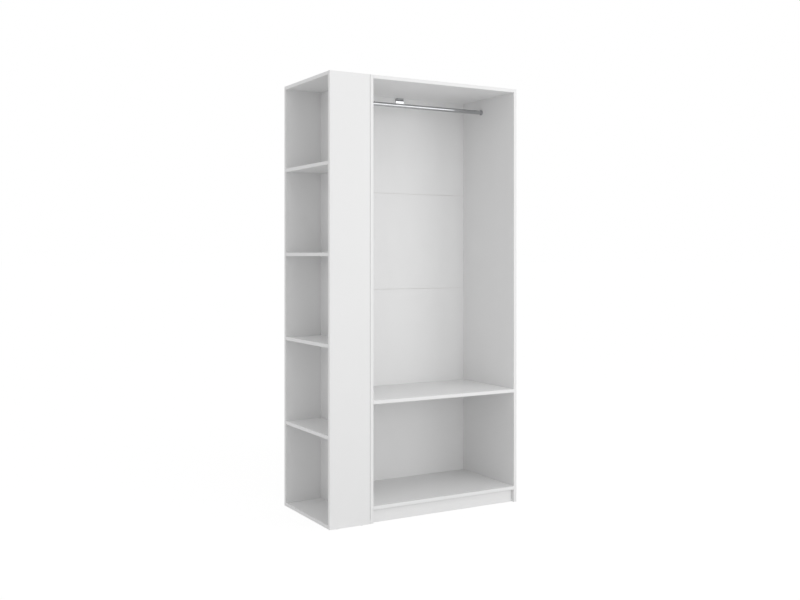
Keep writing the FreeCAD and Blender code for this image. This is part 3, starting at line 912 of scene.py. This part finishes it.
class SubAssembly:
    """A part of the wardrobe that dresses its nodes and adds its own pieces."""

    def build(self) -> None:
        """Build and dress the sub-assembly."""
        raise NotImplementedError

    def dress(self, nodes: Iterable[str], finish: Finish) -> None:
        """Give CAD nodes a finish.

        Args:
            nodes: Names of the nodes.
            finish: The finish that they get.
        """
        for node in nodes:
            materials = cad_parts[node].data.materials
            materials.clear()
            materials.append(finish.material())
            LOG.info("%s wears %s", node, finish.name)

    def fit(self, piece: Piece, finish: Finish, slot: Slot, node: str, body: Body = Body.CARCASS) -> None:
        """Give a new piece its finish and its body, and hide the CAD node that it stands for.

        Args:
            piece: The new piece, in its place.
            finish: The finish that it gets.
            slot: The record's slot for that finish; not used.
            node: CAD node that the piece replaces.
            body: Body that the piece moves with.
        """
        piece.data.materials.append(finish.material())
        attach(piece, body.value)
        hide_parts(node)
        LOG.info("%s stands for %s", piece.name, node)


@dataclass
class HangingSection(SubAssembly):
    """The boards of the hanging section and its thin back."""

    boards: tuple[str, ...] = ("wardrobe_right_side", "wardrobe_top")
    gap_boards: tuple[str, ...] = ("wardrobe_left_side", "wardrobe_plinth", "wardrobe_rear_plinth")
    shelves: tuple[str, ...] = ("wardrobe_shelf", "wardrobe_bottom")
    leaves: tuple[str, ...] = ("back_leaf_1", "back_leaf_2", "back_leaf_3", "back_leaf_4")
    strips: tuple[str, ...] = ("back_seam_strip_1", "back_seam_strip_2")

    def build(self) -> None:
        """Dress the boards, the back sheets and their seam strips."""
        self.dress(self.boards, FRONT_BANDED)
        self.dress(self.gap_boards, GAP_BANDED)
        self.dress(self.shelves, SHELF_BANDED)
        self.dress(self.leaves, BACK_LACQUER)
        self.dress(self.strips, PLASTIC)


@dataclass
class ShelfUnit(SubAssembly):
    """The boards of the end unit whose bays open to the left."""

    panels: tuple[str, ...] = ("front_panel", "rear_panel", "inner_back", "bottom", "top")
    shelves: tuple[str, ...] = ("shelf_1", "shelf_2", "shelf_3", "shelf_4")

    def build(self) -> None:
        """Dress the panels and the shelves."""
        self.dress([f"shelf_unit_{name}" for name in self.panels + self.shelves], SIDE_BANDED)


@dataclass
class HangingRail(SubAssembly):
    """The chrome tube, which turns in two cup sockets."""

    tube_radius: float = 10.0 * MM
    tube_wall: float = 1.2 * MM
    tube_mouth: float = 40.0 * MM
    cup_bore: float = 10.2 * MM
    cup_floor: float = 2.5 * MM
    cup_lip: float = 1.4 * MM
    lip_steps: int = 5
    rim: float = 0.3 * MM
    rim_steps: int = 2
    sides: int = 96

    def build(self) -> None:
        """Build the tube on its own body and the sockets on the carcass."""
        self.build_tube()
        self.build_sockets()
        self.dress(["rod_socket_screws"], ZINC)

    def build_tube(self) -> None:
        """Draw the tube with open ends and a deburred rim."""
        solid = solids_of("hanging_rod")[0]
        length = solid.length_along(Direction.RIGHT)
        inner = self.tube_radius - self.tube_wall
        bench = Bench("rail_tube")
        bench.turn(
            [
                (inner, self.tube_mouth),
                (inner, 0.0),
                (self.tube_radius, 0.0),
                (self.tube_radius, length),
                (inner, length),
                (inner, length - self.tube_mouth),
            ],
            self.sides,
        )
        for height in (0.0, length):
            bench.round_rim(self.tube_radius, height, self.rim, self.rim_steps)
        tube = stand(bench.finish(), solid.end(Direction.LEFT), Direction.RIGHT)
        self.fit(tube, CHROME, Slot.CHROME, "hanging_rod", Body.ROD)

    def build_sockets(self) -> None:
        """Turn one cup with a rolled lip and set it at both sides."""
        sample = solids_of("rod_socket_left")[0]
        radius = sample.length_along(Direction.UP) / 2
        length = sample.length_along(Direction.RIGHT)
        bench = Bench("rod_cup")
        bench.turn(
            [(self.cup_bore, self.cup_floor), (self.cup_bore, length), (radius, length), (radius, 0.0)],
            self.sides,
        )
        bench.round_rim(radius, length, self.cup_lip, self.lip_steps)
        bench.round_rim(self.cup_bore, length, self.rim, self.rim_steps)
        pattern = bench.finish()
        for side, seat, way in (
            ("left", Direction.LEFT, Direction.RIGHT),
            ("right", Direction.RIGHT, Direction.LEFT),
        ):
            node = f"rod_socket_{side}"
            cup = stand(copied(pattern, f"rod_cup_{side}"), solids_of(node)[0].end(seat), way)
            self.fit(cup, CHROME, Slot.CHROME, node)
        bpy.data.objects.remove(pattern)


@dataclass
class CornerBrace(SubAssembly):
    """The bright metal brace between the top board and the back."""

    # Pairs of the drop below the cover's top and the depth from the back, at each fold of its front
    folds: tuple[tuple[float, float], ...] = (
        (0.0, 3.2 * MM),
        (7.0 * MM, 3.2 * MM),
        (8.5 * MM, 4.6 * MM),
        (35.0 * MM, 2.3 * MM),
    )
    # The neck ends at this fold
    neck_fold: int = 2
    wall: float = 0.8 * MM
    arris: float = 0.3 * MM
    arris_steps: int = 3
    flat_angle: float = math.radians(5)

    def build(self) -> None:
        """Shape the folded cover and dress the parts behind it."""
        self.build_cover()
        self.dress([f"corner_brace_{name}" for name in ("angle", "screws", "bolts", "nuts")], ZINC)

    def build_cover(self) -> None:
        """Shape the cover from a block of its size and give its neck a darker chrome as painted shade."""
        solid = solids_of("corner_brace_cover")[0]
        bench = Bench("corner_brace_shell")
        bpy.ops.mesh.primitive_cube_add(size=1.0)
        bench.take()
        bpy.ops.transform.resize(value=solid.high - solid.low)
        bpy.ops.transform.translate(value=(solid.low + solid.high) / 2)
        self.fold_front(bench, solid)
        self.hollow(bench, solid)
        shell = bench.finish()
        self.fit(shell, CHROME, Slot.CHROME, "corner_brace_cover")
        # The neck gets a darker copy of the chrome, painted shade for the dark band under the top board
        shell.data.materials.append(PAINTED_SHADE_CHROME.material())
        neck_low = solid.high.z - self.folds[self.neck_fold][0]
        for face in shell.data.polygons:
            face.material_index = int(face.center.z > neck_low)

    def fold_front(self, bench: Bench, solid: Solid) -> None:
        """Cut the block across at each fold and draw its front back to the fold's depth.

        Args:
            bench: Bench that holds the block.
            solid: Box of the cover.
        """
        for drop, _ in self.folds[1:-1]:
            bpy.ops.mesh.select_all(action="SELECT")
            bpy.ops.mesh.bisect(plane_co=(0.0, 0.0, solid.high.z - drop), plane_no=Direction.UP.value)
        for drop, depth in self.folds:
            level = solid.high.z - drop
            bench.select(
                Element.VERT, lambda vert: meets(vert.co.z, level) and meets(vert.co.y, solid.low.y)
            )
            bpy.ops.transform.translate(value=(0.0, solid.high.y - solid.low.y - depth, 0.0))

    def hollow(self, bench: Bench, solid: Solid) -> None:
        """Open the block's top and rear, leave a thin wall and round its outer arrises.

        Args:
            bench: Bench that holds the folded block.
            solid: Box of the cover.
        """

        def is_open(element: Edge | Face) -> bool:
            """Say whether an edge or a face lies in the plane of the rear or of the top."""
            at_rear = all(meets(vert.co.y, solid.high.y) for vert in element.verts)
            return at_rear or all(meets(vert.co.z, solid.high.z) for vert in element.verts)

        def is_arris(edge: Edge) -> bool:
            """Say whether an edge is an outer arris."""
            ends = (solid.low.x, solid.high.x)
            outer = all(any(meets(vert.co.x, end) for end in ends) for vert in edge.verts)
            folded = len(edge.link_faces) == 2 and edge.calc_face_angle() > self.flat_angle
            return outer and folded and not is_open(edge)

        bench.select(Element.FACE, is_open)
        bpy.ops.mesh.delete(type="FACE")
        bench.modify("SOLIDIFY", thickness=self.wall, offset=-1.0, use_even_offset=True)
        bench.select(Element.EDGE, is_arris)
        bpy.ops.mesh.bevel(
            offset=self.arris,
            segments=self.arris_steps,
            profile=ROUND_PROFILE,
            affect="EDGES",
            clamp_overlap=True,
        )


@dataclass(frozen=True)
class DomedFastener:
    """A fastener with a domed head and a cross drive, in metres."""

    node: str
    name: str
    out: Direction
    shank: float
    head: float = 7.0 * MM
    height: float = 1.8 * MM


@dataclass
class Fasteners(SubAssembly):
    """Screws, connectors, caps and glides."""

    screw_sides: int = 24
    head_sides: int = 36
    confirmat_head: float = 5.0 * MM
    confirmat_neck: float = 3.0 * MM
    confirmat_shank: float = 3.3 * MM
    confirmat_tip: float = 4.0 * MM
    # Share of the shank's radius at the point
    confirmat_point: float = 0.5
    confirmat_drive: float = 2.3 * MM
    confirmat_drive_depth: float = 2.4 * MM
    domed: tuple[DomedFastener, ...] = (
        DomedFastener(
            "back_screws", "back_washer_screws", Direction.BACKWARD, 1.7 * MM, head=5.0 * MM, height=1.6 * MM
        ),
        DomedFastener("section_connector_sleeves", "connector_sleeves", Direction.LEFT, 3.9 * MM),
        DomedFastener("section_connector_bolts", "connector_bolts", Direction.RIGHT, 2.8 * MM),
    )
    # Shares of a domed head's radius
    crown: float = 0.62
    shoulder: float = 0.88
    # Shares of a domed head's height
    shoulder_drop: float = 0.35
    brim_drop: float = 0.8
    cross_drop: float = 0.8
    # Share of the crown's radius that the cross takes
    cross: float = 0.8
    cap_rim: float = 0.35 * MM
    cap_steps: int = 3
    glide_radius: float = 7.0 * MM
    glide_height: float = 2.0 * MM
    glide_chamfer: float = 0.8 * MM
    nail_radius: float = 1.0 * MM
    # Share of the nail's radius at its point
    nail_point: float = 0.25

    def build(self) -> None:
        """Build each kind of fastener and dress those that stay hidden."""
        self.build_confirmats("wardrobe_confirmat_screws", "wardrobe_confirmats")
        self.build_confirmats("shelf_unit_confirmat_screws", "shelf_unit_confirmats")
        for kind in self.domed:
            self.build_domed(kind)
        self.build_caps()
        self.build_glides()
        self.dress(["cam_bolts"], ZINC)
        self.dress(["cam_locks"], CAST_ZINC)
        self.dress(["shelf_unit_dowels"], BEECH)

    def confirmat_places(self, node: str) -> list[tuple[Vector, Direction]]:
        """Find the head and the direction of each confirmat screw.

        Args:
            node: Name of the CAD node that holds the screws.

        Returns:
            The middle of each head's top, and the way that points out of it.
        """
        middle = sum(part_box("wardrobe_shelf"), Vector()).x / 2
        places = []
        for solid in solids_of(node):
            centre = (solid.low.x + solid.high.x) / 2
            if solid.length_along(Direction.BACKWARD) > solid.length_along(Direction.RIGHT):
                out = Direction.BACKWARD
            elif SEAM < centre < middle:
                out = Direction.LEFT
            else:
                out = Direction.RIGHT
            places.append((solid.end(out), out))
        return places

    def build_confirmats(self, node: str, name: str) -> None:
        """Model one confirmat screw with a hexagon socket and set it out.

        Args:
            node: CAD node that the screws stand for.
            name: Name of the new piece.
        """
        places = self.confirmat_places(node)
        length = solids_of(node)[0].length_along(places[0][1])
        bench = Bench(name)
        bench.turn(
            [
                (self.confirmat_head, 0.0),
                (self.confirmat_shank, -self.confirmat_neck),
                (self.confirmat_shank, self.confirmat_tip - length),
                (self.confirmat_shank * self.confirmat_point, -length),
            ],
            self.screw_sides,
        )
        bench.sink(Recess.HEXAGON, self.confirmat_drive, 0.0, self.confirmat_drive_depth)
        self.fit(set_out(bench.finish(), places), ZINC, Slot.PLATED_STEEL, node)

    def build_domed(self, kind: DomedFastener) -> None:
        """Model one domed, cross-driven fastener and set it out.

        Args:
            kind: Sizes, place and names of the fastener.
        """
        solids = solids_of(kind.node)
        length = solids[0].length_along(kind.out)
        crown = kind.head * self.crown
        bench = Bench(kind.name)
        bench.turn(
            [
                (crown, 0.0),
                (kind.head * self.shoulder, -kind.height * self.shoulder_drop),
                (kind.head, -kind.height * self.brim_drop),
                (kind.head, -kind.height),
                (kind.shank, -kind.height),
                (kind.shank, -length),
            ],
            self.head_sides,
        )
        bench.sink(Recess.CROSS, crown * self.cross, 0.0, kind.height * self.cross_drop)
        places = [(solid.end(kind.out), kind.out) for solid in solids]
        self.fit(set_out(bench.finish(), places), ZINC, Slot.PLATED_STEEL, kind.node)

    def build_caps(self) -> None:
        """Model one flush cap with a rounded rim and set it over each screw of the right side."""
        solids = solids_of("screw_cover_caps")
        radius = solids[0].length_along(Direction.UP) / 2
        depth = solids[0].length_along(Direction.RIGHT)
        bench = Bench("screw_caps")
        bench.turn([(radius, 0.0), (radius, -depth)], self.head_sides)
        bench.close()
        bench.round_rim(radius, 0.0, self.cap_rim, self.cap_steps)
        places = [(solid.end(Direction.RIGHT), Direction.RIGHT) for solid in solids]
        self.fit(set_out(bench.finish(), places), PLASTIC, Slot.WHITE_PLASTIC, "screw_cover_caps")

    def build_glides(self) -> None:
        """Model one nail-on glide and set it under each upright."""
        solids = solids_of("floor_glides")
        length = solids[0].length_along(Direction.UP)
        bench = Bench("nail_glides")
        bench.turn(
            [
                (self.glide_radius - self.glide_chamfer, 0.0),
                (self.glide_radius, self.glide_chamfer),
                (self.glide_radius, self.glide_height),
                (self.nail_radius, self.glide_height),
                (self.nail_radius, length - self.nail_radius),
                (self.nail_radius * self.nail_point, length),
            ],
            self.head_sides,
        )
        places = [(solid.end(Direction.DOWN), Direction.UP) for solid in solids]
        self.fit(set_out(bench.finish(), places), PLASTIC, Slot.WHITE_PLASTIC, "floor_glides")


@dataclass(frozen=True)
class Softbox:
    """A lamp with a soft, even face of a given width and height, in metres."""

    name: str
    place: tuple[float, float, float]
    width: float
    height: float
    watts: float

    def hang(self, aim: Vector) -> None:
        """Hang the lamp and turn its face to a point.

        Args:
            aim: The point.
        """
        lamp = bpy.data.lights.new(self.name, "AREA")
        lamp.shape = "RECTANGLE"
        lamp.size = self.width
        lamp.size_y = self.height
        lamp.energy = self.watts
        holder = bpy.data.objects.new(self.name, lamp)
        bpy.context.scene.collection.objects.link(holder)
        holder.location = self.place
        holder.rotation_euler = (aim - Vector(self.place)).to_track_quat("-Z", "Y").to_euler()


@dataclass
class Studio:
    """A white studio: floor, world, lamps and the camera of the photograph, in metres and degrees."""

    floor_size: float = 240.0
    paper: StudioPaper = StudioPaper("studio_paper")
    white_hex: str = "#FFFFFF"
    # Strength of the world as a light and as the background that the camera sees
    ambient: float = 0.68
    backdrop: float = 1.0
    lamp_aim: tuple[float, float, float] = (0.0, 0.0, 0.95)
    lamps: tuple[Softbox, ...] = (
        Softbox("front_softbox", (0.0, -5.4, 1.3), width=2.4, height=2.4, watts=23.0),
        Softbox("right_strip", (2.8, -4.74, 1.65), width=1.95, height=2.8, watts=29.0),
        Softbox("high_softbox", (0.0, -3.5, 4.5), width=4.0, height=4.0, watts=36.5),
    )
    camera_place: tuple[float, float, float] = (-2.36508, -4.17550, 1.19619)
    camera_tilt: float = 90.0
    camera_turn: float = -30.39
    # Sensor and lens in millimetres
    camera_sensor: float = 36.0
    camera_lens: float = 44.874
    camera_shift: tuple[float, float] = (-0.02046, -0.0560)

    def build(self) -> None:
        """Set up the stage around the wardrobe."""
        self.lay_floor()
        self.light_world()
        for lamp in self.lamps:
            lamp.hang(Vector(self.lamp_aim))
        self.set_camera()
        bpy.context.scene.view_settings.view_transform = "Standard"
        LOG.info("studio is set")

    def lay_floor(self) -> None:
        """Lay a floor of pale paper."""
        bpy.ops.object.select_all(action="DESELECT")
        bpy.ops.mesh.primitive_plane_add(size=self.floor_size)
        floor = bpy.context.active_object
        floor.name = "studio_floor"
        floor.data.materials.append(self.paper.material())

    def light_world(self) -> None:
        """Give the world a soft even light and a white look."""
        world = bpy.data.worlds.new("studio_world")
        bpy.context.scene.world = world
        world.use_nodes = True
        tree = world.node_tree
        tree.nodes.clear()
        soft, white = (
            add_node(tree, "Background", {"Color": linear(self.white_hex), "Strength": strength})[0]
            for strength in (self.ambient, self.backdrop)
        )
        mixed = add_node(tree, "MixShader", {0: seen_directly(tree), 1: soft, 2: white})[0]
        add_node(tree, "OutputWorld", {"Surface": mixed})

    def set_camera(self) -> None:
        """Stand the camera where the photograph was taken."""
        camera = bpy.data.cameras.new("photo_camera")
        camera.sensor_width = self.camera_sensor
        camera.lens = self.camera_lens
        camera.shift_x, camera.shift_y = self.camera_shift
        holder = bpy.data.objects.new("photo_camera", camera)
        bpy.context.scene.collection.objects.link(holder)
        holder.location = self.camera_place
        holder.rotation_euler = (math.radians(self.camera_tilt), 0.0, math.radians(self.camera_turn))
        bpy.context.scene.camera = holder


def main() -> None:
    """Build the wardrobe's sub-assemblies and the studio."""
    logging.basicConfig(level=logging.INFO, format="%(message)s")
    for assembly in (HangingSection(), ShelfUnit(), HangingRail(), CornerBrace(), Fasteners()):
        assembly.build()
        LOG.info("%s is built", type(assembly).__name__)
    Studio().build()


if __name__ == "__main__":
    main()
